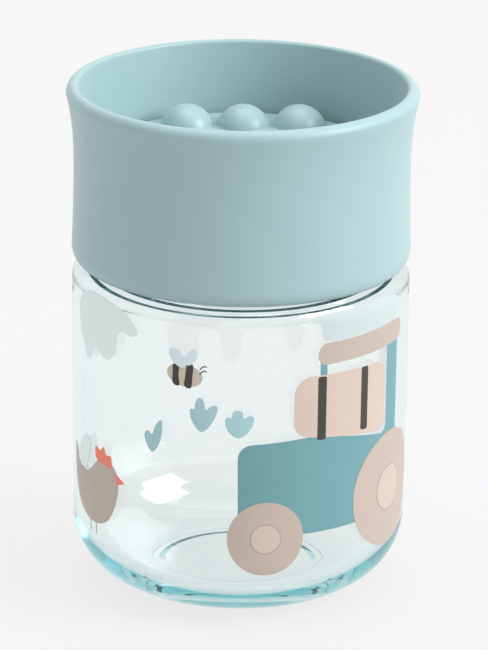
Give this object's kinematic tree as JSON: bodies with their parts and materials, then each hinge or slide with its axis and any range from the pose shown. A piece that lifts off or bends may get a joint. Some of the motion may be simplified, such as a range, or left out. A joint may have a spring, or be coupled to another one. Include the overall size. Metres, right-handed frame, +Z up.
{
  "type": "sippy cup",
  "caption": "Spill-proof trainer cup: clear round tumbler, screw-on flared drinking collar, lift-out domed valve plate over a soft sealing disc.",
  "frame": {"origin": "centre of the foot, on the surface the cup stands on", "axes": "+Z up along the cup's axis, -Y towards the printed front, +X to the viewer's right"},
  "size_m": [0.075, 0.075, 0.1108],
  "materials": {
    "clear_body": "clear, polished, with a faint blue-green tint and printed decoration",
    "collar": "fine satin moulded plastic",
    "valve": "satin moulded plastic",
    "silicone": "translucent soft silicone"
  },
  "bodies": {
    "cup": {"cup_body": "clear_body"},
    "seal_ring": {"collar_gasket": "silicone"},
    "collar": {"drinking_collar": "collar", "valve_seat": "collar"},
    "valve": {"valve_plate": "valve"},
    "membrane": {"valve_membrane": "silicone"}
  },
  "joints": [
    {"name": "collar_rise", "type": "slide", "parent": "cup", "child": "seal_ring", "axis": [0, 0, 1], "range_m": [0, 0.00905]},
    {"name": "collar_turn", "type": "hinge", "parent": "seal_ring", "child": "collar", "pos_m": [0, 0, 0.08], "axis": [0, 0, 1], "range_deg": [0, 360]},
    {"name": "valve_pull", "type": "slide", "parent": "collar", "child": "valve", "axis": [0, 0, 1], "range_m": [0, 0.03]},
    {"name": "membrane_lift", "type": "slide", "parent": "valve", "child": "membrane", "axis": [0, 0, 1], "range_m": [0, 0.0009], "stiffness_N_per_m": 200}
  ],
  "couplings": [
    {"joint": "collar_rise", "follows": "collar_turn", "m_per_rad": 0.0014324}
  ]
}
